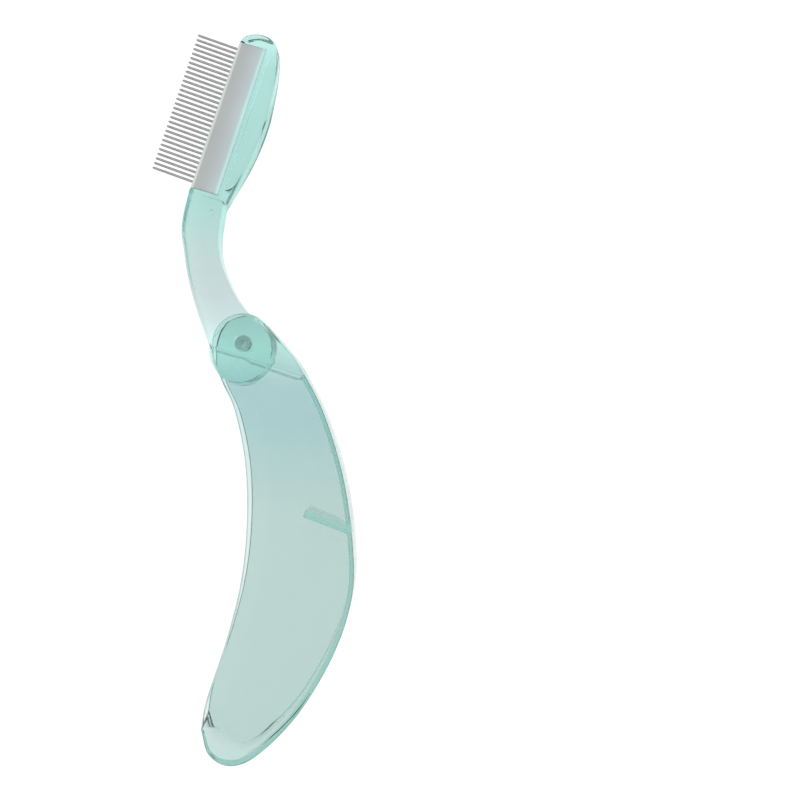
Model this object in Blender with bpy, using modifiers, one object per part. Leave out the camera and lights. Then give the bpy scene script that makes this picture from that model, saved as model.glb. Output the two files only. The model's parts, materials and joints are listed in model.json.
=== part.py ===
"""Folding flea comb: a clear channel handle, a swinging clear arm, a moulded bar and thirty steel teeth.

The comb lies flat: X across, Y along the handle (the arm points to +Y when open), Z through the
thickness. The pivot axis is Z through the origin, and the handle's underside is the plane z = 0.
"""

import math

import bpy
import bmesh
from mathutils import Matrix, Vector

MM = 0.001

# ---- driving dimensions --------------------------------------------------------------------------
THICKNESS = 12.5 * MM          # handle, outer face to outer face
WALL = 1.5 * MM                # each side wall of the handle
CHEEK = 2.4 * MM               # the same walls where they flank the pivot
SPINE = 1.8 * MM               # closed back of the channel
HANDLE_DEPTH = 29.4 * MM       # pivot axis to the back of the handle, across
TIP_RADIUS = 7.9 * MM          # rounded ends of the walls around the pivot
FAR_CLEARANCE = 17.55 * MM     # handle beyond the end of the folded arm
EDGE_ROUND = 0.5 * MM          # outer edges of the handle

RIB_THICKNESS = 1.8 * MM       # web that ties the two walls inside the channel
RIB_LENGTH = 12.6 * MM         # its reach from the spine
RIB_CLEARANCE = 2.6 * MM       # from the first tooth, folded, to the web
STEP_SLOPE = math.radians(18.4)  # of the line where the thick cheeks end, from the spine up to the mouth
STEP_LAP = 1.0 * MM            # the cheeks' cutter runs this far into the channel
NUB_RADIUS = 0.7 * MM          # small stop nub on the mouth edge of the lower wall

PIN_RADIUS = 2.05 * MM         # hollow pivot pin
PIN_BORE = 1.1 * MM
PIN_SKIN = 0.8 * MM            # wall left closed over each end of the pin
PIN_FIT = 0.15 * MM            # radial clearance of the pin in its sockets
BORE_FIT = 0.25 * MM           # radial clearance of the arm's bore on the pin
SIDE_PLAY = 0.3 * MM           # hub to cheek, and pin end to socket floor

HUB_RADIUS = 8.3 * MM          # round end of the arm, set off the pivot
HUB_OFFSET = Vector((-1.0, -1.7)) * MM
ARM_STEP = 0.55 * MM           # the arm is thinner than its hub by this on each side
ARM_ROUND = 1.1 * MM           # rounded edges of the arm

TOOTH_COUNT = 30
TOOTH_PITCH = 1.39 * MM
TOOTH_RADIUS = 0.35 * MM
TOOTH_REACH = 13.0 * MM        # bare length outside the bar
TOOTH_SEAT = 6.0 * MM          # length inside the bar
TOOTH_TAPER = 0.6 * MM         # length of the rounded point
TOOTH_FIT = 0.06 * MM
TOOTH_RAKE = math.radians(3.4)            # the teeth lean this much towards the head's end

BAR_WIDTH = 8.0 * MM
BAR_STEP = 0.3 * MM            # the bar lies below the arm's faces by this
BAR_MARGIN = 2.45 * MM         # from the bar's foot to the first tooth
BAR_END = 1.05 * MM            # beyond the last tooth
BAR_ROUND = 0.4 * MM
BAR_FIT = 0.3 * MM             # gap all round the bar in its notch
KEY_DEPTH = 1.2 * MM           # tongue on the back of the bar
KEY_THICKNESS = 1.8 * MM
KEY_INSET = 1.5 * MM           # the tongue stops short of the ends of the bar

COMB_FOOT = Vector((-15.9, 43.5)) * MM   # near end of the bar, on the side the teeth leave
COMB_LEAN = math.radians(16.8)           # of the row, from the handle's length
FOLD_ANGLE = math.radians(176.0)
HEAD_WALL = 5.8 * MM           # thickest place of the head behind the bar
HOOK = 3.5 * MM                # end block that closes the notch

NICK_LENGTH = 15.0 * MM        # thumbnail groove along the back of the head
NICK_DEPTH = 1.5 * MM
NICK_WIDTH = 3.0 * MM
GATE_RADIUS = 0.75 * MM        # moulding dimple on the neck
GATE_DEPTH = 0.4 * MM

# ---- derived dimensions --------------------------------------------------------------------------
MID = THICKNESS / 2
HUB_THICKNESS = THICKNESS - 2 * CHEEK - 2 * SIDE_PLAY
ARM_THICKNESS = HUB_THICKNESS - 2 * ARM_STEP
BAR_THICKNESS = ARM_THICKNESS - 2 * BAR_STEP
PIN_LENGTH = THICKNESS - 2 * PIN_SKIN - 2 * SIDE_PLAY
ROW = (TOOTH_COUNT - 1) * TOOTH_PITCH
BAR_LENGTH = ROW + BAR_MARGIN + BAR_END
ALONG = Vector((math.sin(COMB_LEAN), math.cos(COMB_LEAN)))     # along the row, away from the pivot
INWARD = Vector((math.cos(COMB_LEAN), -math.sin(COMB_LEAN)))   # from the teeth to the head's back
KEY_LENGTH = BAR_LENGTH - 2 * KEY_INSET
NOTCH_LENGTH = BAR_LENGTH + 2 * BAR_FIT
HEAD_BACK = BAR_WIDTH + HEAD_WALL
HEAD_LENGTH = BAR_LENGTH + BAR_FIT + HOOK
ARM_REACH = (COMB_FOOT + ALONG * HEAD_LENGTH).y
HANDLE_REACH = ARM_REACH + FAR_CLEARANCE
TOOTH_LEAN = COMB_LEAN + TOOTH_RAKE
TOOTH_INWARD = Vector((math.cos(TOOTH_LEAN), -math.sin(TOOTH_LEAN)))   # along a tooth, into the bar
SPILL = 12 * MM                # how far the cutters run past what they cut


def comb_point(along, inward):
    """A point of the head: distance along the row from the bar's foot, and in from the tooth side."""
    return COMB_FOOT + ALONG * along + INWARD * inward


def folded(point):
    """Where a point of the open arm lies when the comb is folded."""
    return Matrix.Rotation(FOLD_ANGLE, 2) @ point


# ---- outlines ------------------------------------------------------------------------------------
def smooth(knots, steps):
    """A Catmull-Rom curve through the knots, from the first to the last."""
    ends = [2 * knots[0] - knots[1]] + knots + [2 * knots[-1] - knots[-2]]
    points = []
    for a, b, c, d in zip(ends, ends[1:], ends[2:], ends[3:]):
        for k in range(steps):
            t = k / steps
            square = (2 * a - 5 * b + 4 * c - d) * t ** 2
            cube = (3 * b - a - 3 * c + d) * t ** 3
            points.append(0.5 * (2 * b + (c - a) * t + square + cube))
    return points + [knots[-1]]


def arc(centre, radius, start, end, steps):
    """Points of an arc between two angles in degrees, both ends included."""
    angles = [math.radians(start + (end - start) * k / steps) for k in range(steps + 1)]
    return [centre + radius * Vector((math.cos(a), math.sin(a))) for a in angles]


def inset(points, distance):
    """The open path moved sideways, to the right of its direction when the distance is positive."""
    moved = []
    for k, point in enumerate(points):
        before = points[max(k - 1, 0)]
        after = points[min(k + 1, len(points) - 1)]
        direction = (after - before).normalized()
        moved.append(point + distance * Vector((direction.y, -direction.x)))
    return moved


PIVOT_END = arc(Vector((0, 0)), TIP_RADIUS, 192, 49, 18)    # round end of the walls, over the top
BACK_STEPS = 6                                              # curve points per knot of the back


def handle_point(across, down):
    """A point of the handle as shares of its depth and of its reach."""
    return Vector((across * HANDLE_DEPTH, -down * HANDLE_REACH))


def handle_back():
    """The outer edge from the pivot's end over the back and round the far end, clockwise."""
    shares = [(0.36, 0.002), (0.516, 0.058), (0.731, 0.171), (0.911, 0.328), (1.0, 0.493),
              (0.993, 0.615), (0.84, 0.746), (0.541, 0.883), (0.204, 0.975), (-0.03, 1.0),
              (-0.214, 0.975), (-0.286, 0.917)]
    return smooth([PIVOT_END[-1]] + [handle_point(*share) for share in shares], BACK_STEPS)


def handle_mouth():
    """The hollow edge from the far end back to the pivot's end, where the channel is open."""
    shares = [(-0.286, 0.917), (-0.245, 0.849), (-0.085, 0.711), (0.031, 0.572), (0.071, 0.431),
              (0.046, 0.294), (-0.051, 0.171), (-0.167, 0.0995), (-0.252, 0.048)]
    return smooth([handle_point(*share) for share in shares] + [PIVOT_END[0]], 5)


def handle_outline():
    """The closed outline of both walls."""
    return PIVOT_END + handle_back()[1:] + handle_mouth()[1:-1]


# Knots of the neck between the head and the hub, in millimetres from the pivot.
FRONT_OF_NECK = [(-17.5, 37.4), (-18.05, 33.8), (-18.05, 30.6), (-17.3, 26.0), (-16.4, 20.5),
                 (-15.1, 15.1), (-13.4, 9.7), (-11.5, 4.3), (-10.5, 1.6)]
BACK_OF_NECK = [(0.7, 8.5), (-2.6, 12.9), (-5.4, 18.4), (-7.4, 24.0), (-7.95, 29.7), (-7.4, 35.0)]


def arm_outline():
    """The closed outline of the arm: back of the head, end block, tooth side, neck and round hub."""
    back = [comb_point(-2.4 * MM, HEAD_BACK - 3.8 * MM),
            comb_point(0.7 * MM, HEAD_BACK - 3.3 * MM),
            comb_point(0.16 * BAR_LENGTH, HEAD_BACK - 1.8 * MM),
            comb_point(0.3 * BAR_LENGTH, HEAD_BACK - 0.7 * MM),
            comb_point(0.44 * BAR_LENGTH, HEAD_BACK - 0.1 * MM),
            comb_point(0.58 * BAR_LENGTH, HEAD_BACK),
            comb_point(0.72 * BAR_LENGTH, HEAD_BACK - 0.6 * MM),
            comb_point(0.85 * BAR_LENGTH, HEAD_BACK - 1.4 * MM),
            comb_point(HEAD_LENGTH - 4.8 * MM, HEAD_BACK - 2.6 * MM),
            comb_point(HEAD_LENGTH - 1.6 * MM, HEAD_BACK - 3.9 * MM),
            comb_point(HEAD_LENGTH - 0.3 * MM, HEAD_BACK - 5.9 * MM),
            comb_point(HEAD_LENGTH, HEAD_BACK - 8.3 * MM),
            comb_point(HEAD_LENGTH - 0.4 * MM, 3.3 * MM),
            comb_point(HEAD_LENGTH - 1.6 * MM, 1.0 * MM),
            comb_point(HEAD_LENGTH - HOOK, 0)]
    front = [comb_point(-0.2 * MM, -0.3 * MM), comb_point(-2.4 * MM, -0.15 * MM)]
    front += [Vector(place) * MM for place in FRONT_OF_NECK]
    hub = arc(HUB_OFFSET, HUB_RADIUS, 176, 415, 26)
    neck = [Vector(place) * MM for place in BACK_OF_NECK]
    return smooth(back, 4) + smooth(front, 4) + hub + smooth(neck + [back[0]], 4)[:-1]


# ---- modelling helpers ---------------------------------------------------------------------------
def new_collection(name):
    collection = bpy.data.collections.new(name)
    bpy.context.scene.collection.children.link(collection)
    return collection


def move_to(obj, collection):
    for owner in list(obj.users_collection):
        owner.objects.unlink(obj)
    collection.objects.link(obj)
    return obj


def mesh_from_curve(curve_object, collection):
    """Turns a curve object into a welded mesh object of the same name and place."""
    bpy.context.view_layer.update()
    evaluated = curve_object.evaluated_get(bpy.context.evaluated_depsgraph_get())
    mesh = bpy.data.meshes.new_from_object(evaluated)
    welder = bmesh.new()
    welder.from_mesh(mesh)
    bmesh.ops.remove_doubles(welder, verts=welder.verts, dist=1e-7)
    bmesh.ops.recalc_face_normals(welder, faces=welder.faces)
    welder.to_mesh(mesh)
    welder.free()
    name = curve_object.name
    matrix = curve_object.matrix_world.copy()
    bpy.data.objects.remove(curve_object)
    obj = bpy.data.objects.new(name, mesh)
    obj.matrix_world = matrix
    collection.objects.link(obj)
    return obj


def slab(name, outline, bottom, top, collection, rounding=0.0):
    """A flat outline extruded from one height to another, with rounded edges when asked."""
    curve = bpy.data.curves.new(name, "CURVE")
    curve.dimensions = "2D"
    curve.fill_mode = "BOTH"
    curve.extrude = (top - bottom) / 2 - rounding
    curve.bevel_depth = rounding
    curve.bevel_resolution = 2
    curve.offset = -rounding
    spline = curve.splines.new("POLY")
    spline.points.add(len(outline) - 1)
    spline.use_cyclic_u = True
    for target, point in zip(spline.points, outline):
        target.co = (point.x, point.y, 0, 1)
    obj = bpy.data.objects.new(name, curve)
    obj.location.z = (top + bottom) / 2
    bpy.context.scene.collection.objects.link(obj)
    return mesh_from_curve(obj, collection)


def cylinder(name, radius, bottom, top, collection, centre=(0, 0), vertices=48):
    bpy.ops.mesh.primitive_cylinder_add(vertices=vertices, radius=radius, depth=top - bottom,
                                        location=(centre[0], centre[1], (top + bottom) / 2))
    obj = bpy.context.object
    obj.name = name
    return move_to(obj, collection)


def box(name, size, location, turn, collection):
    bpy.ops.mesh.primitive_cube_add(size=1, location=location, rotation=(0, 0, turn))
    obj = bpy.context.object
    obj.name = name
    obj.scale = size
    bpy.context.view_layer.update()
    obj.data.transform(Matrix.Diagonal((*size, 1)))
    obj.scale = (1, 1, 1)
    return move_to(obj, collection)


def boolean(obj, other, operation):
    """Cuts or joins another object, which then stays as a hidden construction body."""
    modifier = obj.modifiers.new(f"{operation.lower()} {other.name}", "BOOLEAN")
    modifier.operation = operation
    modifier.solver = "EXACT"
    modifier.object = other
    other.hide_render = True
    other.display_type = "WIRE"


def material(name, colour, roughness, metallic, transmission=0.0):
    made = bpy.data.materials.new(name)
    made.use_nodes = True
    shader = made.node_tree.nodes["Principled BSDF"]
    shader.inputs["Base Color"].default_value = (*colour, 1)
    shader.inputs["Roughness"].default_value = roughness
    shader.inputs["Metallic"].default_value = metallic
    shader.inputs["Transmission Weight"].default_value = transmission
    made.diffuse_color = (*colour, 1)
    return made


def finish(obj, surface):
    """Gives a part its material and smooth shading with sharp edges kept."""
    obj.data.materials.clear()
    obj.data.materials.append(surface)
    obj.data.shade_smooth()
    obj.data.set_sharp_from_angle(angle=math.radians(32))
    return obj


# ---- sub-parts -----------------------------------------------------------------------------------
def build_handle(parts, cutters, surface):
    """One-piece channel: two walls joined by the spine, thicker cheeks, pin sockets, web and nub."""
    handle = slab("handle_shell", handle_outline(), 0, THICKNESS, parts, EDGE_ROUND)
    edge = handle_back()
    first = 2 * BACK_STEPS + BACK_STEPS // 6
    inner = inset(edge, SPINE)[first:]
    past_mouth = -HANDLE_DEPTH
    outside = edge[first] + (edge[first] - inner[0]).normalized() * SPILL
    step_end = Vector((past_mouth, inner[0].y + (inner[0].x - past_mouth) * math.tan(STEP_SLOPE)))
    lap = Vector((-STEP_LAP, -STEP_LAP))

    cheek_gap = [inner[0] + lap, step_end + lap, Vector((past_mouth - STEP_LAP, SPILL)),
                 Vector((outside.x, SPILL)), outside]
    between_cheeks = slab("cut_between_cheeks", cheek_gap, CHEEK, THICKNESS - CHEEK, cutters)
    hollow = inner + [Vector((past_mouth, inner[-1].y)), step_end]
    channel = slab("cut_channel", hollow, WALL, THICKNESS - WALL, cutters)
    sockets = cylinder("cut_pin_sockets", PIN_RADIUS + PIN_FIT, PIN_SKIN, THICKNESS - PIN_SKIN, cutters)
    boolean(handle, between_cheeks, "DIFFERENCE")
    boolean(handle, channel, "DIFFERENCE")
    boolean(handle, sockets, "DIFFERENCE")

    last_root = folded(comb_point(BAR_MARGIN, 0))
    outward = folded(-INWARD).normalized()
    aside = folded(-ALONG).normalized()
    line = last_root + aside * (TOOTH_RADIUS + RIB_CLEARANCE + RIB_THICKNESS / 2)
    spine_side = min(inset(edge, SPINE / 2), key=lambda p: abs((p - line).dot(aside)) + (p.x < 0))
    middle = line + outward * ((spine_side - line).dot(outward) - RIB_LENGTH / 2)
    rib = box("web", (RIB_LENGTH, RIB_THICKNESS, THICKNESS - WALL), (middle.x, middle.y, MID),
              math.atan2(outward.y, outward.x), cutters)
    boolean(handle, rib, "UNION")

    nub_place = handle_mouth()[-5]
    nub = cylinder("stop_nub", NUB_RADIUS, EDGE_ROUND, CHEEK - SIDE_PLAY, cutters, nub_place, 16)
    boolean(handle, nub, "UNION")
    return finish(handle, surface)


def build_pin(parts, surface):
    """Hollow pin between the two sockets, made as a turned tube."""
    profile = bpy.data.meshes.new("pivot_pin")
    sketch = bmesh.new()
    low = -PIN_LENGTH / 2
    corners = [(PIN_RADIUS, -low), (PIN_RADIUS, low), (PIN_BORE, low), (PIN_BORE, -low)]
    points = [sketch.verts.new((x, 0, z)) for x, z in corners]
    for a, b in zip(points, points[1:] + points[:1]):
        sketch.edges.new((a, b))
    sketch.to_mesh(profile)
    sketch.free()
    pin = bpy.data.objects.new("pivot_pin", profile)
    pin.location.z = MID
    parts.objects.link(pin)
    turn = pin.modifiers.new("turn", "SCREW")
    turn.steps = 48
    turn.render_steps = 48
    turn.use_merge_vertices = True
    turn.merge_threshold = 1e-6
    return finish(pin, surface)


def build_arm(parts, cutters, surface):
    """Clear arm: head with the notch for the bar, curved neck, thick round hub with the pivot bore."""
    low = MID - ARM_THICKNESS / 2
    high = MID + ARM_THICKNESS / 2
    arm = slab("comb_arm", arm_outline(), low, high, parts, ARM_ROUND)
    hub = cylinder("hub_disc", HUB_RADIUS, MID - HUB_THICKNESS / 2, MID + HUB_THICKNESS / 2, cutters,
                   HUB_OFFSET, 64)
    boolean(arm, hub, "UNION")

    bore = cylinder("cut_bore", PIN_RADIUS + BORE_FIT, -SPILL, THICKNESS + SPILL, cutters)
    boolean(arm, bore, "DIFFERENCE")

    notch_middle = comb_point(BAR_LENGTH / 2, (BAR_WIDTH + BAR_FIT - SPILL) / 2)
    notch = box("cut_notch", (BAR_WIDTH + BAR_FIT + SPILL, NOTCH_LENGTH, ARM_THICKNESS + SPILL),
                (notch_middle.x, notch_middle.y, MID), -COMB_LEAN, cutters)
    boolean(arm, notch, "DIFFERENCE")
    groove_middle = comb_point(BAR_LENGTH / 2, BAR_WIDTH + (KEY_DEPTH + BAR_FIT) / 2)
    groove_size = (KEY_DEPTH + BAR_FIT, KEY_LENGTH + 2 * BAR_FIT, KEY_THICKNESS + 2 * BAR_FIT)
    groove = box("cut_key_groove", groove_size,
                 (groove_middle.x, groove_middle.y, MID), -COMB_LEAN, cutters)
    boolean(arm, groove, "DIFFERENCE")

    nick_middle = comb_point(0.52 * BAR_LENGTH, HEAD_BACK + (SPILL / 2 - NICK_DEPTH))
    nick = box("cut_thumb_nick", (SPILL, NICK_LENGTH, NICK_WIDTH), (nick_middle.x, nick_middle.y, MID),
               -COMB_LEAN, cutters)
    boolean(arm, nick, "DIFFERENCE")

    gate_place = comb_point(-5.0 * MM, HEAD_BACK - 5.9 * MM)
    gate = cylinder("cut_gate_dimple", GATE_RADIUS, high - GATE_DEPTH, THICKNESS, cutters, gate_place, 20)
    boolean(arm, gate, "DIFFERENCE")
    return finish(arm, surface)


def tooth_root(index):
    """Where a tooth leaves the bar, counted from the end by the pivot."""
    return comb_point(BAR_MARGIN + index * TOOTH_PITCH, 0)


def build_bar(parts, cutters, surface):
    """Moulded bar with a tongue along its back and a blind hole for each tooth."""
    middle = comb_point(BAR_LENGTH / 2, BAR_WIDTH / 2)
    bar = box("comb_bar", (BAR_WIDTH, BAR_LENGTH, BAR_THICKNESS), (middle.x, middle.y, MID),
              -COMB_LEAN, parts)
    rounding = bar.modifiers.new("edges", "BEVEL")
    rounding.width = BAR_ROUND
    rounding.segments = 2
    key_middle = comb_point(BAR_LENGTH / 2, BAR_WIDTH + (KEY_DEPTH - BAR_ROUND) / 2 - BAR_ROUND)
    key = box("bar_key", (KEY_DEPTH + BAR_ROUND, KEY_LENGTH, KEY_THICKNESS),
              (key_middle.x, key_middle.y, MID), -COMB_LEAN, cutters)
    boolean(bar, key, "UNION")
    depth = TOOTH_SEAT + TOOTH_FIT + BAR_ROUND
    for index in range(TOOTH_COUNT):
        place = tooth_root(index) + TOOTH_INWARD * (TOOTH_SEAT + TOOTH_FIT - depth / 2)
        bpy.ops.mesh.primitive_cylinder_add(vertices=12, radius=TOOTH_RADIUS + TOOTH_FIT, depth=depth,
                                            location=(place.x, place.y, MID),
                                            rotation=(0, math.radians(90), -TOOTH_LEAN))
        hole = move_to(bpy.context.object, cutters)
        hole.name = f"cut_tooth_hole_{index + 1:02d}"
        boolean(bar, hole, "DIFFERENCE")
    return finish(bar, surface)


def tooth_mesh():
    """One pin along local Z, its root at the origin and a rounded point at the far end."""
    mesh = bpy.data.meshes.new("tooth")
    pin = bmesh.new()
    shank = TOOTH_REACH + TOOTH_SEAT - TOOTH_TAPER
    bmesh.ops.create_cone(pin, cap_ends=True, segments=12, radius1=TOOTH_RADIUS,
                          radius2=TOOTH_RADIUS, depth=shank,
                          matrix=Matrix.Translation((0, 0, shank / 2 - TOOTH_SEAT)))
    for share, width in ((0.55, 0.8), (0.85, 0.5), (1.0, 0.2)):
        top = max(vertex.co.z for vertex in pin.verts)
        cap = [face for face in pin.faces if all(abs(v.co.z - top) < 1e-7 for v in face.verts)]
        raised = bmesh.ops.extrude_face_region(pin, geom=cap)["geom"]
        height = TOOTH_REACH - TOOTH_TAPER * (1 - share)
        for vertex in raised:
            if isinstance(vertex, bmesh.types.BMVert):
                side = Vector((vertex.co.x, vertex.co.y)).normalized() * TOOTH_RADIUS * width
                vertex.co = (side.x, side.y, height)
        bmesh.ops.delete(pin, geom=cap, context="FACES")
    bmesh.ops.recalc_face_normals(pin, faces=pin.faces)
    pin.to_mesh(mesh)
    pin.free()
    return mesh


def build_teeth(parts, surface):
    mesh = tooth_mesh()
    for index in range(TOOTH_COUNT):
        tooth = bpy.data.objects.new(f"tooth_{index + 1:02d}", mesh)
        place = tooth_root(index)
        tooth.location = (place.x, place.y, MID)
        tooth.rotation_euler = (0, math.radians(-90), -TOOTH_LEAN)
        parts.objects.link(tooth)
    finish(tooth, surface)


def build():
    for obj in list(bpy.data.objects):
        bpy.data.objects.remove(obj, do_unlink=True)
    parts = new_collection("flea_comb")
    cutters = new_collection("construction")
    clear = material("clear teal plastic", (0.42, 0.62, 0.59), 0.12, 0.0, 0.85)
    grey = material("grey moulded plastic", (0.47, 0.47, 0.48), 0.5, 0.0)
    steel = material("steel", (0.42, 0.42, 0.43), 0.25, 1.0)
    build_handle(parts, cutters, clear)
    build_pin(parts, clear)
    build_arm(parts, cutters, clear)
    build_bar(parts, cutters, grey)
    build_teeth(parts, steel)


build()
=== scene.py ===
"""Looks of the folding flea comb: clear teal handle and arm, grey bar and steel pins, on a pale table."""

import json
import math

import bmesh
import bpy
from mathutils import Matrix, Vector


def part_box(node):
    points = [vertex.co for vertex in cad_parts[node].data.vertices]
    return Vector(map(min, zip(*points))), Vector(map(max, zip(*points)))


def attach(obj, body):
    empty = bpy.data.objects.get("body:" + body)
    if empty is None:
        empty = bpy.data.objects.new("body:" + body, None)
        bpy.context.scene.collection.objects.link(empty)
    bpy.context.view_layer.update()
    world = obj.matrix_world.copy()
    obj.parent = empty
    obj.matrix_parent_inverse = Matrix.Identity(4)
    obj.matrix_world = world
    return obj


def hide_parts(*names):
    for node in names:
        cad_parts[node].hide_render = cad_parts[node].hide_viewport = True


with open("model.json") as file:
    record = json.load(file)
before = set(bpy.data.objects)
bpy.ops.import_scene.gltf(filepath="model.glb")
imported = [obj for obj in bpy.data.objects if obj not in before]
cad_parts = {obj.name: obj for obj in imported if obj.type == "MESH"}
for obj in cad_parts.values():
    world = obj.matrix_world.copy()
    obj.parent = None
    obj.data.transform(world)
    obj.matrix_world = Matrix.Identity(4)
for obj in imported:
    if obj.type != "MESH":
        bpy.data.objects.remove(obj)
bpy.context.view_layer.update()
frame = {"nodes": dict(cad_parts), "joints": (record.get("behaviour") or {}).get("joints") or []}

MM = 0.001

# ---- sizes read from the frame -------------------------------------------------------------------
HANDLE_LOW, HANDLE_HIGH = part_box("handle_shell")
PIN_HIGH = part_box("pivot_pin")[1]
ARM_LOW, ARM_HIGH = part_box("comb_arm")
BAR_LOW, BAR_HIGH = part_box("comb_bar")
TEETH = sorted(name for name in frame["nodes"] if name.startswith("tooth_"))
THICKNESS = HANDLE_HIGH.z - HANDLE_LOW.z
MID = (HANDLE_HIGH.z + HANDLE_LOW.z) / 2
TIP_RADIUS = HANDLE_HIGH.y
PIN_RADIUS = PIN_HIGH.x
HUB_THICKNESS = ARM_HIGH.z - ARM_LOW.z
BAR_THICKNESS = BAR_HIGH.z - BAR_LOW.z


def centre_of(node):
    low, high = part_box(node)
    return (low + high) / 2


FIRST_TOOTH = centre_of(TEETH[0])
LAST_TOOTH = centre_of(TEETH[-1])
ALONG = Vector((LAST_TOOTH - FIRST_TOOTH)[:2]).normalized()
INWARD = Vector((ALONG.y, -ALONG.x))
COMB_LEAN = math.atan2(ALONG.x, ALONG.y)
PITCH = (LAST_TOOTH - FIRST_TOOTH).length / (len(TEETH) - 1)

# ---- sizes that the fine meshes share with the solids --------------------------------------------
WALL = 1.5 * MM                  # side walls of the handle
CHEEK = 2.4 * MM                 # the same walls where they flank the pivot
STEP_SLOPE = math.radians(18.4)  # of the line where the thick cheeks end
STEP_LAP = 1.0 * MM              # the cheeks' cutter runs this far into the channel
PIN_SKIN = 0.8 * MM              # wall left closed over each end of the pin
PIN_FIT = 0.15 * MM
BORE_FIT = 0.25 * MM
RIB_THICKNESS = 1.8 * MM         # web inside the channel
RIB_LENGTH = 12.6 * MM
RIB_CLEARANCE = 2.6 * MM         # from the first tooth, folded, to the web
HUB_RADIUS = 8.3 * MM
HUB_OFFSET = Vector((-1.0, -1.7)) * MM
ARM_STEP = 0.55 * MM             # the arm is thinner than its hub by this on each side
ARM_THICKNESS = HUB_THICKNESS - 2 * ARM_STEP
ARM_ROUND = 1.1 * MM
TOOTH_RADIUS = 0.35 * MM
TOOTH_LENGTH = 19.0 * MM
TOOTH_SEAT = 6.0 * MM            # length inside the bar
TOOTH_RAKE = math.radians(3.4)   # the teeth lean this much towards the head's end
BAR_WIDTH = 8.0 * MM
BAR_ROUND = 0.4 * MM
BAR_MARGIN = 2.45 * MM           # from the bar's foot to the first tooth
BAR_END = 1.05 * MM              # beyond the last tooth
BAR_FIT = 0.3 * MM               # between the bar and the hook
HEAD_WALL = 5.8 * MM             # thickest place of the head behind the bar
HOOK = 3.5 * MM                  # end block past the bar
NICK_LENGTH = 15.0 * MM          # thumbnail scoop along the back of the head
NICK_DEPTH = 1.5 * MM
NICK_WIDTH = 3.0 * MM
NICK_PLACE = 0.52                # of the bar's length
GATE_RADIUS = 0.75 * MM          # moulding dimple on the neck
GATE_DEPTH = 0.4 * MM
SPILL = 12 * MM                  # how far the cutters run past what they cut

HEAD_BACK = BAR_WIDTH + HEAD_WALL
FOLD_ANGLE = math.radians(frame["joints"][0]["range_deg"][1])
BAR_LENGTH = PITCH * (len(TEETH) - 1) + BAR_MARGIN + BAR_END
HEAD_LENGTH = BAR_LENGTH + BAR_FIT + HOOK
TOOTH_LEAN = COMB_LEAN + TOOTH_RAKE
TOOTH_INWARD = Vector((math.cos(TOOTH_LEAN), -math.sin(TOOTH_LEAN)))
COMB_FOOT = Vector(FIRST_TOOTH[:2]) + TOOTH_INWARD * (TOOTH_LENGTH / 2 - TOOTH_SEAT) - ALONG * BAR_MARGIN

# ---- sizes of the fine meshes alone --------------------------------------------------------------
SPINE = 1.3 * MM                 # closed back of the channel; the solid's is 1.8 mm
SPINE_TAPER = 0.7                # share of the spine that is lost towards its end at the mouth
EDGE_ROUND = 0.6 * MM            # outer edges of the handle; the solid's are 0.5 mm
BAR_GAP = 0.06 * MM              # round the bar in its notch; the solid has 0.3 mm and a tongue
SOFTENING = 0.15 * MM            # every other sharp edge
STEP_SHADE_WIDTH = 0.55 * MM            # width of the painted shade line where the cheek of the lower wall ends


def comb_point(along, inward):
    """A point of the head: distance along the row from the bar's foot, and in from the tooth side."""
    return COMB_FOOT + ALONG * along + INWARD * inward


# ---- outlines ------------------------------------------------------------------------------------
def smooth(knots, steps):
    """A Catmull-Rom curve through the knots, from the first to the last."""
    ends = [2 * knots[0] - knots[1]] + knots + [2 * knots[-1] - knots[-2]]
    points = []
    for a, b, c, d in zip(ends, ends[1:], ends[2:], ends[3:]):
        for k in range(steps):
            t = k / steps
            square = (2 * a - 5 * b + 4 * c - d) * t ** 2
            cube = (3 * b - a - 3 * c + d) * t ** 3
            points.append(0.5 * (2 * b + (c - a) * t + square + cube))
    return points + [knots[-1]]


def arc(centre, radius, start, end, steps):
    """Points of an arc between two angles in degrees, both ends included."""
    angles = [math.radians(start + (end - start) * k / steps) for k in range(steps + 1)]
    return [centre + radius * Vector((math.cos(a), math.sin(a))) for a in angles]


def inset(points, distance):
    """The open path moved sideways, to the right of its direction when the distance is positive."""
    moved = []
    for k, point in enumerate(points):
        before = points[max(k - 1, 0)]
        after = points[min(k + 1, len(points) - 1)]
        direction = (after - before).normalized()
        moved.append(point + distance * Vector((direction.y, -direction.x)))
    return moved


# The handle's outline, as shares of its depth and of its reach.
BACK = [(0.36, 0.002), (0.516, 0.058), (0.731, 0.171), (0.911, 0.328), (1.0, 0.493), (0.993, 0.615),
        (0.84, 0.746), (0.541, 0.883), (0.204, 0.975), (-0.03, 1.0), (-0.214, 0.975), (-0.286, 0.917)]
MOUTH = [(-0.286, 0.917), (-0.245, 0.849), (-0.085, 0.711), (0.031, 0.572), (0.071, 0.431),
         (0.046, 0.294), (-0.051, 0.171), (-0.167, 0.0995), (-0.252, 0.048)]
BACK_STEPS = 18     # curve points per knot
MOUTH_STEPS = 15
ARM_STEPS = 12
BACK_CURVE = smooth([Vector(share) for share in BACK], BACK_STEPS)
HANDLE_DEPTH = HANDLE_HIGH.x / max(share.x for share in BACK_CURVE)
HANDLE_REACH = -HANDLE_LOW.y / max(share.y for share in BACK_CURVE)
PIVOT_END = arc(Vector((0, 0)), TIP_RADIUS, 192, 49, 54)


def handle_point(across, down):
    return Vector((across * HANDLE_DEPTH, -down * HANDLE_REACH))


def handle_back():
    """The outer edge from the pivot's end over the back and round the far end, clockwise."""
    return smooth([PIVOT_END[-1]] + [handle_point(*share) for share in BACK], BACK_STEPS)


def handle_mouth():
    """The hollow edge from the far end back to the pivot's end, where the channel is open."""
    return smooth([handle_point(*share) for share in MOUTH] + [PIVOT_END[0]], MOUTH_STEPS)


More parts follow.
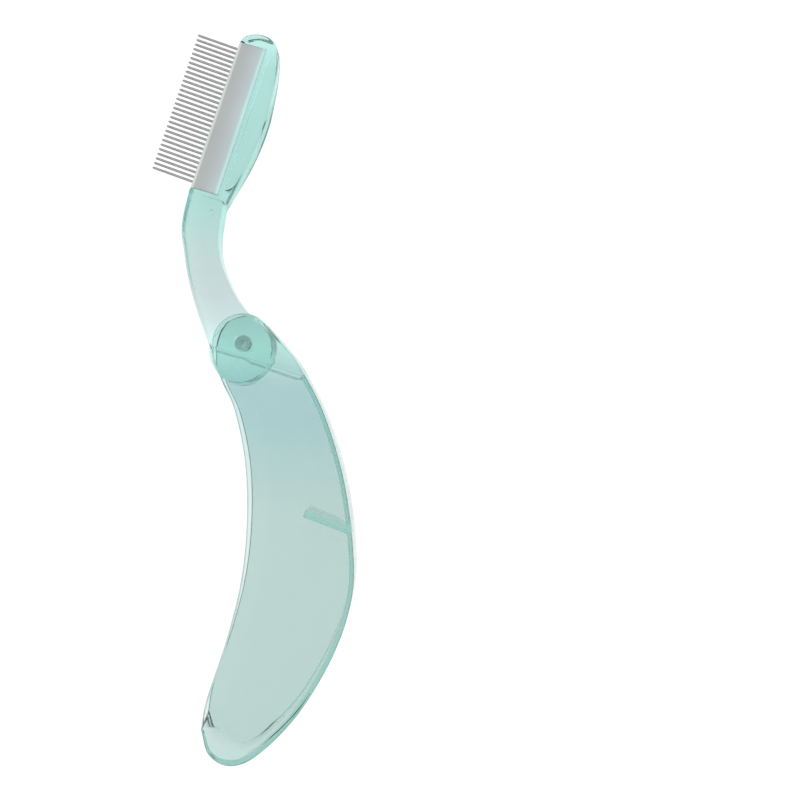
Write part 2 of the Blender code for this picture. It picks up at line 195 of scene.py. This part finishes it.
def handle_outline():
    return PIVOT_END + handle_back()[1:] + handle_mouth()[1:-1]


# Knots of the neck between the head and the hub, in millimetres from the pivot.
FRONT_OF_NECK = [(-17.5, 37.4), (-18.05, 33.8), (-18.05, 30.6), (-17.3, 26.0), (-16.4, 20.5),
                 (-15.1, 15.1), (-13.4, 9.7), (-11.5, 4.3), (-10.5, 1.6)]
BACK_OF_NECK = [(0.7, 8.5), (-2.6, 12.9), (-5.4, 18.4), (-7.4, 24.0), (-7.95, 29.7), (-7.4, 35.0)]


def arm_outline():
    """The closed outline of the arm: back of the head, end block, tooth side, neck and round hub."""
    back = [comb_point(-2.4 * MM, HEAD_BACK - 3.8 * MM),
            comb_point(0.7 * MM, HEAD_BACK - 3.3 * MM),
            comb_point(0.16 * BAR_LENGTH, HEAD_BACK - 1.8 * MM),
            comb_point(0.3 * BAR_LENGTH, HEAD_BACK - 0.7 * MM),
            comb_point(0.44 * BAR_LENGTH, HEAD_BACK - 0.1 * MM),
            comb_point(0.58 * BAR_LENGTH, HEAD_BACK),
            comb_point(0.72 * BAR_LENGTH, HEAD_BACK - 0.6 * MM),
            comb_point(0.85 * BAR_LENGTH, HEAD_BACK - 1.4 * MM),
            comb_point(HEAD_LENGTH - 4.8 * MM, HEAD_BACK - 2.6 * MM),
            comb_point(HEAD_LENGTH - 1.6 * MM, HEAD_BACK - 3.9 * MM),
            comb_point(HEAD_LENGTH - 0.3 * MM, HEAD_BACK - 5.9 * MM),
            comb_point(HEAD_LENGTH, HEAD_BACK - 8.3 * MM),
            comb_point(HEAD_LENGTH - 0.4 * MM, 3.3 * MM),
            comb_point(HEAD_LENGTH - 1.6 * MM, 1.0 * MM),
            comb_point(HEAD_LENGTH - HOOK, 0)]
    front = [comb_point(-0.2 * MM, -0.3 * MM), comb_point(-2.4 * MM, -0.15 * MM)]
    front += [Vector(place) * MM for place in FRONT_OF_NECK]
    hub = arc(HUB_OFFSET, HUB_RADIUS, 176, 415, 78)
    neck = [Vector(place) * MM for place in BACK_OF_NECK] + [back[0]]
    return smooth(back, ARM_STEPS) + smooth(front, ARM_STEPS) + hub + smooth(neck, ARM_STEPS)[:-1]


# ---- modelling helpers ---------------------------------------------------------------------------
def link(obj):
    bpy.context.scene.collection.objects.link(obj)
    return obj


def mesh_from_curve(curve_object):
    """Turns a curve object into a welded mesh object of the same name and place."""
    bpy.context.view_layer.update()
    evaluated = curve_object.evaluated_get(bpy.context.evaluated_depsgraph_get())
    mesh = bpy.data.meshes.new_from_object(evaluated)
    welder = bmesh.new()
    welder.from_mesh(mesh)
    bmesh.ops.remove_doubles(welder, verts=welder.verts, dist=1e-7)
    bmesh.ops.recalc_face_normals(welder, faces=welder.faces)
    welder.to_mesh(mesh)
    welder.free()
    name = curve_object.name
    matrix = curve_object.matrix_world.copy()
    bpy.data.objects.remove(curve_object)
    obj = link(bpy.data.objects.new(name, mesh))
    obj.matrix_world = matrix
    return obj


def slab(name, outline, bottom, top, rounding=0.0, segments=4):
    """A flat outline extruded from one height to another, with rounded edges when asked."""
    curve = bpy.data.curves.new(name, "CURVE")
    curve.dimensions = "2D"
    curve.fill_mode = "BOTH"
    curve.extrude = (top - bottom) / 2 - rounding
    curve.bevel_depth = rounding
    curve.bevel_resolution = segments
    curve.offset = -rounding
    spline = curve.splines.new("POLY")
    spline.points.add(len(outline) - 1)
    spline.use_cyclic_u = True
    for target, point in zip(spline.points, outline):
        target.co = (point.x, point.y, 0, 1)
    obj = link(bpy.data.objects.new(name, curve))
    obj.location.z = (top + bottom) / 2
    return mesh_from_curve(obj)


def placed(name, shape, location, turn=0.0):
    """Turns a bmesh into an object at its place, turned about Z."""
    mesh = bpy.data.meshes.new(name)
    shape.to_mesh(mesh)
    shape.free()
    obj = link(bpy.data.objects.new(name, mesh))
    obj.location = location
    obj.rotation_euler.z = turn
    return obj


def cylinder(name, radius, bottom, top, centre=(0, 0), vertices=96):
    shape = bmesh.new()
    bmesh.ops.create_cone(shape, cap_ends=True, segments=vertices, radius1=radius, radius2=radius,
                          depth=top - bottom)
    return placed(name, shape, (centre[0], centre[1], (top + bottom) / 2))


def box(name, size, location, turn):
    shape = bmesh.new()
    bmesh.ops.create_cube(shape, size=1)
    bmesh.ops.scale(shape, vec=size, verts=shape.verts)
    return placed(name, shape, location, turn)


def ellipsoid(name, radii, location, turn):
    shape = bmesh.new()
    bmesh.ops.create_uvsphere(shape, u_segments=32, v_segments=16, radius=1)
    bmesh.ops.scale(shape, vec=radii, verts=shape.verts)
    return placed(name, shape, location, turn)


def boolean(obj, other, operation):
    """Cuts or joins another mesh at once, and removes that mesh."""
    modifier = obj.modifiers.new("boolean", "BOOLEAN")
    modifier.operation = operation
    modifier.solver = "EXACT"
    modifier.object = other
    bake(obj)
    bpy.data.objects.remove(other)


def bake(obj):
    """Replaces the object's mesh by its evaluated one."""
    bpy.context.view_layer.update()
    evaluated = obj.evaluated_get(bpy.context.evaluated_depsgraph_get())
    mesh = bpy.data.meshes.new_from_object(evaluated)
    obj.modifiers.clear()
    obj.data = mesh


def soften(obj, width, segments=2):
    """Rounds every remaining sharp edge a little, and shades the piece smooth."""
    modifier = obj.modifiers.new("soften", "BEVEL")
    modifier.width = width
    modifier.segments = segments
    modifier.limit_method = "ANGLE"
    modifier.angle_limit = math.radians(38)
    modifier.use_clamp_overlap = True
    modifier.harden_normals = False
    bake(obj)
    shade(obj)


def shade(obj, angle=35):
    """Smooth shading that keeps the edges sharper than the angle."""
    obj.data.shade_smooth()
    obj.data.set_sharp_from_angle(angle=math.radians(angle))


# ---- materials -----------------------------------------------------------------------------------
def new_material(name):
    made = bpy.data.materials.new(name)
    made.use_nodes = True
    nodes = made.node_tree.nodes
    return made, nodes, made.node_tree.links, nodes["Principled BSDF"]


def noise(nodes, scale, detail, roughness=0.5, stretch=(1, 1, 1)):
    """A noise texture in the object's own coordinates."""
    coordinates = nodes.new("ShaderNodeTexCoord")
    mapping = nodes.new("ShaderNodeMapping")
    mapping.inputs["Scale"].default_value = stretch
    texture = nodes.new("ShaderNodeTexNoise")
    texture.inputs["Scale"].default_value = scale
    texture.inputs["Detail"].default_value = detail
    texture.inputs["Roughness"].default_value = roughness
    links = texture.id_data.links
    links.new(coordinates.outputs["Object"], mapping.inputs["Vector"])
    links.new(mapping.outputs["Vector"], texture.inputs["Vector"])
    return texture


def spread(nodes, texture, low, high):
    """Maps a texture's middle range onto two values."""
    ranged = nodes.new("ShaderNodeMapRange")
    ranged.inputs["From Min"].default_value = 0.3
    ranged.inputs["From Max"].default_value = 0.7
    ranged.inputs["To Min"].default_value = low
    ranged.inputs["To Max"].default_value = high
    ranged.id_data.links.new(texture.outputs["Fac"], ranged.inputs["Value"])
    return ranged.outputs["Result"]


def bump(nodes, texture, strength, distance):
    made = nodes.new("ShaderNodeBump")
    made.inputs["Strength"].default_value = strength
    made.inputs["Distance"].default_value = distance
    made.id_data.links.new(texture.outputs["Fac"], made.inputs["Height"])
    return made.outputs["Normal"]


def ramp(nodes, value, tones):
    """Colours along a value; each tone is a value, from the lowest up, and a colour."""
    low = tones[0][0]
    high = tones[-1][0]
    ranged = nodes.new("ShaderNodeMapRange")
    ranged.inputs["From Min"].default_value = low
    ranged.inputs["From Max"].default_value = high
    bands = nodes.new("ShaderNodeValToRGB")
    stops = bands.color_ramp.elements
    for _ in tones[2:]:
        stops.new(1.0)
    for stop, (place, tone) in zip(stops, tones):
        stop.position = (place - low) / (high - low)
        stop.color = (*tone, 1)
    bands.id_data.links.new(value, ranged.inputs["Value"])
    bands.id_data.links.new(ranged.outputs["Result"], bands.inputs["Fac"])
    return bands.outputs["Color"]


def axes_of(nodes):
    """The object's own X, Y and Z."""
    coordinates = nodes.new("ShaderNodeTexCoord")
    axes = nodes.new("ShaderNodeSeparateXYZ")
    axes.id_data.links.new(coordinates.outputs["Object"], axes.inputs["Vector"])
    return axes.outputs


def math_node(nodes, operation, *values):
    made = nodes.new("ShaderNodeMath")
    made.operation = operation
    for socket, value in zip(made.inputs, values):
        if isinstance(value, float):
            socket.default_value = value
        else:
            made.id_data.links.new(value, socket)
    return made.outputs[0]


def multiplied(nodes, colour, mask, tone):
    """The colour multiplied by a tone, as far as the mask says."""
    mix = nodes.new("ShaderNodeMix")
    mix.data_type = "RGBA"
    mix.blend_type = "MULTIPLY"
    mix.inputs["B"].default_value = (*tone, 1)
    mix.id_data.links.new(colour, mix.inputs["A"])
    mix.id_data.links.new(mask, mix.inputs["Factor"])
    return mix.outputs["Result"]


def clear_plastic(name, tones, absorbed, density):
    """Polished clear plastic with painted light and shade along Y in its base colour; its tint deepens with
    the light's path through it.
    """
    made, nodes, links, shader = new_material(name)
    # painted light and shade: the base colour changes along Y
    links.new(ramp(nodes, axes_of(nodes)["Y"], tones), shader.inputs["Base Color"])
    shader.inputs["Transmission Weight"].default_value = 1.0
    shader.inputs["IOR"].default_value = 1.4
    flow = noise(nodes, 90, 2.0, roughness=0.45, stretch=(1, 0.35, 1))
    links.new(spread(nodes, flow, 0.02, 0.07), shader.inputs["Roughness"])
    links.new(bump(nodes, flow, 0.06, 0.05 * MM), shader.inputs["Normal"])
    volume = nodes.new("ShaderNodeVolumeAbsorption")
    volume.inputs["Color"].default_value = (*absorbed, 1)
    volume.inputs["Density"].default_value = density
    links.new(volume.outputs["Volume"], nodes["Material Output"].inputs["Volume"])
    return made


# Painted light and shade across the bar from its tooth side, at shares of its width: painted highlight on the
# edge, painted shade band, soft back.
BAR_LIGHT_AND_SHADE = [(0.0, (0.55, 0.61, 0.59)), (0.075, (0.55, 0.61, 0.59)), (0.125, (0.36, 0.39, 0.38)),
             (0.3625, (0.37, 0.405, 0.40)), (0.6, (0.41, 0.445, 0.465)), (0.825, (0.42, 0.51, 0.52)),
             (0.9125, (0.48, 0.70, 0.69)), (1.0, (0.50, 0.76, 0.74))]


def moulded_grey():
    """Matt moulded plastic with painted highlight and shade in bands across the bar, slightly mottled."""
    made, nodes, links, shader = new_material("moulded grey")
    # painted highlight and shade across the bar, in its base colour
    bands = ramp(nodes, axes_of(nodes)["X"], [(BAR_WIDTH * (share - 0.5), tone) for share, tone in BAR_LIGHT_AND_SHADE])
    mottle = spread(nodes, noise(nodes, 60, 2.0), 0.0, 1.0)
    grain = noise(nodes, 900, 4.0, roughness=0.6)
    links.new(multiplied(nodes, bands, mottle, (0.92, 0.92, 0.92)), shader.inputs["Base Color"])
    links.new(spread(nodes, grain, 0.38, 0.55), shader.inputs["Roughness"])
    links.new(bump(nodes, grain, 0.25, 0.03 * MM), shader.inputs["Normal"])
    return made


def drawn_steel():
    """Steel wire with fine variations of tone and roughness."""
    made, nodes, links, shader = new_material("drawn steel")
    shader.inputs["Metallic"].default_value = 1.0
    draw = noise(nodes, 2500, 3.0, roughness=0.6)
    tone = nodes.new("ShaderNodeMix")
    tone.data_type = "RGBA"
    tone.inputs["A"].default_value = (0.24, 0.24, 0.245, 1)
    tone.inputs["B"].default_value = (0.38, 0.38, 0.39, 1)
    links.new(spread(nodes, draw, 0.0, 1.0), tone.inputs["Factor"])
    links.new(tone.outputs["Result"], shader.inputs["Base Color"])
    links.new(spread(nodes, draw, 0.22, 0.38), shader.inputs["Roughness"])
    return made


def paint(obj, surface):
    obj.data.materials.clear()
    obj.data.materials.append(surface)


# ---- pieces --------------------------------------------------------------------------------------
def paint_step_shade(surface, start, end):
    """Paints shade on the inner face of the lower wall in a fine dark line from start to end, where its cheek
    ends.
    """
    nodes = surface.node_tree.nodes
    tint_socket = nodes["Principled BSDF"].inputs["Base Color"]
    axes = axes_of(nodes)
    run = (end - start).normalized()
    across = math_node(nodes, "ADD", math_node(nodes, "MULTIPLY", axes["X"], -run.y),
                       math_node(nodes, "MULTIPLY", axes["Y"], run.x))
    offset = math_node(nodes, "SUBTRACT", across, start.y * run.x - start.x * run.y)
    near = math_node(nodes, "LESS_THAN", math_node(nodes, "ABSOLUTE", offset), STEP_SHADE_WIDTH / 2)
    inner_face = math_node(nodes, "GREATER_THAN", axes["Z"], WALL - MID - 0.1 * MM)
    lower = math_node(nodes, "LESS_THAN", axes["Z"], 0.0)
    mask = math_node(nodes, "MULTIPLY", near, math_node(nodes, "MULTIPLY", inner_face, lower))
    # painted shade: the base colour is multiplied darker along the line
    step_shade = multiplied(nodes, tint_socket.links[0].from_socket, mask, (0.42, 0.50, 0.50))
    surface.node_tree.links.new(step_shade, tint_socket)


def web(edge):
    """The rib between the walls, set just past the folded teeth and reaching in from the spine."""
    turn = Matrix.Rotation(FOLD_ANGLE, 2)
    outward = turn @ -INWARD
    aside = turn @ -ALONG
    line = turn @ comb_point(BAR_MARGIN, 0) + aside * (TOOTH_RADIUS + RIB_CLEARANCE + RIB_THICKNESS / 2)
    near = min(inset(edge, SPINE / 2), key=lambda p: abs((p - line).dot(aside)) + (p.x < 0))
    middle = line + outward * ((near - line).dot(outward) - RIB_LENGTH / 2)
    return box("web", (RIB_LENGTH, RIB_THICKNESS, THICKNESS - WALL), (middle.x, middle.y, MID),
               math.atan2(outward.y, outward.x))


def handle_mesh(surface):
    """One-piece channel: two walls joined by the spine, thicker cheeks, pin sockets and web."""
    handle = slab("handle", handle_outline(), HANDLE_LOW.z, HANDLE_HIGH.z, EDGE_ROUND)
    edge = handle_back()
    first = 2 * BACK_STEPS + BACK_STEPS // 6
    inner = inset(edge, SPINE)[first:]
    taper = 2 * BACK_STEPS
    for k in range(taper):
        share = SPINE_TAPER * (k + 1) / taper
        inner[k - taper] = inner[k - taper].lerp(edge[k - taper], share)
    past_mouth = -HANDLE_DEPTH
    outside = edge[first] + (edge[first] - inner[0]).normalized() * SPILL
    rise = (inner[0].x - past_mouth) * math.tan(STEP_SLOPE)
    step_end = Vector((past_mouth, inner[0].y + rise))
    lap = Vector((-STEP_LAP, -STEP_LAP))
    cheek_gap = [inner[0] + lap, step_end + lap, Vector((past_mouth - STEP_LAP, SPILL)),
                 Vector((outside.x, SPILL)), outside]
    hollow = inner + [Vector((past_mouth, inner[-1].y)), step_end]
    sockets = cylinder("cut", PIN_RADIUS + PIN_FIT, PIN_SKIN, THICKNESS - PIN_SKIN)
    boolean(handle, slab("cut", cheek_gap, CHEEK, THICKNESS - CHEEK), "DIFFERENCE")
    boolean(handle, slab("cut", hollow, WALL, THICKNESS - WALL), "DIFFERENCE")
    boolean(handle, sockets, "DIFFERENCE")
    boolean(handle, web(edge), "UNION")
    # painted shade line where the lower wall's cheek ends
    paint_step_shade(surface, step_end, inner[0])
    soften(handle, SOFTENING)
    return handle


def arm_mesh():
    """Clear arm: head with the notch for the bar, curved neck, thick round hub with the pivot bore."""
    top = MID + ARM_THICKNESS / 2
    arm = slab("arm", arm_outline(), MID - ARM_THICKNESS / 2, top, ARM_ROUND, 6)
    hub = cylinder("hub", HUB_RADIUS, MID - HUB_THICKNESS / 2, MID + HUB_THICKNESS / 2, HUB_OFFSET)
    boolean(arm, hub, "UNION")
    boolean(arm, cylinder("cut", PIN_RADIUS + BORE_FIT, -SPILL, THICKNESS + SPILL), "DIFFERENCE")
    place = comb_point(BAR_LENGTH / 2, (BAR_WIDTH + BAR_GAP - SPILL) / 2)
    notch = box("cut", (BAR_WIDTH + BAR_GAP + SPILL, BAR_LENGTH + 2 * BAR_GAP, ARM_THICKNESS + SPILL),
                (place.x, place.y, MID), -COMB_LEAN)
    boolean(arm, notch, "DIFFERENCE")
    place = comb_point(NICK_PLACE * BAR_LENGTH, HEAD_BACK)
    radii = (NICK_DEPTH, NICK_LENGTH / 2, NICK_WIDTH / 2)
    nick = ellipsoid("cut", radii, (place.x, place.y, MID), -COMB_LEAN)
    boolean(arm, nick, "DIFFERENCE")
    place = comb_point(-5.0 * MM, HEAD_BACK - 5.9 * MM)
    boolean(arm, cylinder("cut", GATE_RADIUS, top - GATE_DEPTH, THICKNESS, place, 32), "DIFFERENCE")
    soften(arm, SOFTENING)
    return arm


def bar_mesh():
    """Moulded bar with rounded edges."""
    place = comb_point(BAR_LENGTH / 2, BAR_WIDTH / 2)
    bar = box("bar", (BAR_WIDTH, BAR_LENGTH, BAR_THICKNESS), (place.x, place.y, MID), -COMB_LEAN)
    soften(bar, BAR_ROUND, 4)
    return bar


# Painted light and shade in the base colour of the clear pieces at places along Y: paler over the pivot,
# bluer below it, deeper in the head.
HANDLE_LIGHT_AND_SHADE = [(-45 * MM, (0.784, 0.848, 0.832)), (-20 * MM, (0.70, 0.81, 0.825)),
                (-10 * MM, (0.71, 0.82, 0.83)), (-2 * MM, (0.83, 0.93, 0.92))]
ARM_LIGHT_AND_SHADE = [(0.0, (0.86, 0.96, 0.94)), (7 * MM, (0.74, 0.78, 0.785)), (14 * MM, (0.70, 0.70, 0.71)),
             (28 * MM, (0.62, 0.70, 0.69)), (40 * MM, (0.51, 0.71, 0.68)),
             (80 * MM, (0.53, 0.75, 0.72)), (86 * MM, (0.64, 0.84, 0.81))]
# painted shade: the pin is darker than the other clear pieces, darkest towards +Y
PIN_SHADE = [(-3 * MM, (0.50, 0.62, 0.61)), (3 * MM, (0.30, 0.42, 0.41))]
clear_handle = clear_plastic("clear teal handle", HANDLE_LIGHT_AND_SHADE, (0.19, 0.685, 0.61), 80.0)
clear_arm = clear_plastic("clear teal arm", ARM_LIGHT_AND_SHADE, (0.20, 0.85, 0.78), 40.0)
clear_pin = clear_plastic("clear teal pin", PIN_SHADE, (0.20, 0.85, 0.78), 40.0)
steel = drawn_steel()

handle = handle_mesh(clear_handle)
paint(handle, clear_handle)
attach(handle, "handle")
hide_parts("handle_shell")

arm = arm_mesh()
paint(arm, clear_arm)
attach(arm, "comb")
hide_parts("comb_arm")

bar = bar_mesh()
paint(bar, moulded_grey())
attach(bar, "comb")
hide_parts("comb_bar")

pin = frame["nodes"]["pivot_pin"]
shade(pin)
paint(pin, clear_pin)

for name in TEETH:
    shade(frame["nodes"][name], 50)
    paint(frame["nodes"][name], steel)

# ---- stage: table, light and camera --------------------------------------------------------------
TABLE_SIZE = 6.0
TABLE_THICKNESS = 0.02
TABLE_GAP = 0.1 * MM
TABLE_GLOW = 0.85
HORIZON_LIGHT = 0.65
ZENITH_LIGHT = 1.3
ZENITH_HEIGHT = 0.75    # the dome is at its brightest from here up, 1 being straight overhead
CAMERA_DISTANCE = 0.169
CAMERA_TILT = math.radians(4.5)
CAMERA_LENS = 28.17
AIM = Vector((0.04145, -0.01459, MID))

table_height = HANDLE_LOW.z - TABLE_GAP - TABLE_THICKNESS / 2
table = box("table", (TABLE_SIZE, TABLE_SIZE, TABLE_THICKNESS), (0, 0, table_height), 0)
table_top = new_material("table")[0]
table_shader = table_top.node_tree.nodes["Principled BSDF"]
table_shader.inputs["Base Color"].default_value = (0.25, 0.25, 0.25, 1)
table_shader.inputs["Emission Color"].default_value = (1, 1, 1, 1)
table_shader.inputs["Emission Strength"].default_value = TABLE_GLOW
table_shader.inputs["Roughness"].default_value = 0.9
table_shader.inputs["Specular IOR Level"].default_value = 0.0
table.data.materials.append(table_top)

world = bpy.data.worlds.new("studio")
bpy.context.scene.world = world
world.use_nodes = True
sky = world.node_tree
background = sky.nodes["Background"]
direction = sky.nodes.new("ShaderNodeTexCoord")
height = sky.nodes.new("ShaderNodeSeparateXYZ")
dome = sky.nodes.new("ShaderNodeMapRange")
dome.inputs["From Min"].default_value = 0.0
dome.inputs["From Max"].default_value = ZENITH_HEIGHT
dome.inputs["To Min"].default_value = HORIZON_LIGHT
dome.inputs["To Max"].default_value = ZENITH_LIGHT
sky.links.new(direction.outputs["Generated"], height.inputs["Vector"])
sky.links.new(height.outputs["Z"], dome.inputs["Value"])
sky.links.new(dome.outputs["Result"], background.inputs["Strength"])
background.inputs["Color"].default_value = (1, 1, 1, 1)

camera = bpy.data.objects.new("camera", bpy.data.cameras.new("camera"))
camera.data.lens = CAMERA_LENS
camera.data.sensor_width = 36.0
camera.data.clip_start = 0.005
camera.location = AIM + Vector((0, -math.sin(CAMERA_TILT), math.cos(CAMERA_TILT))) * CAMERA_DISTANCE
camera.rotation_euler = (CAMERA_TILT, 0, 0)
link(camera)
bpy.context.scene.camera = camera
bpy.context.scene.view_settings.view_transform = "Standard"
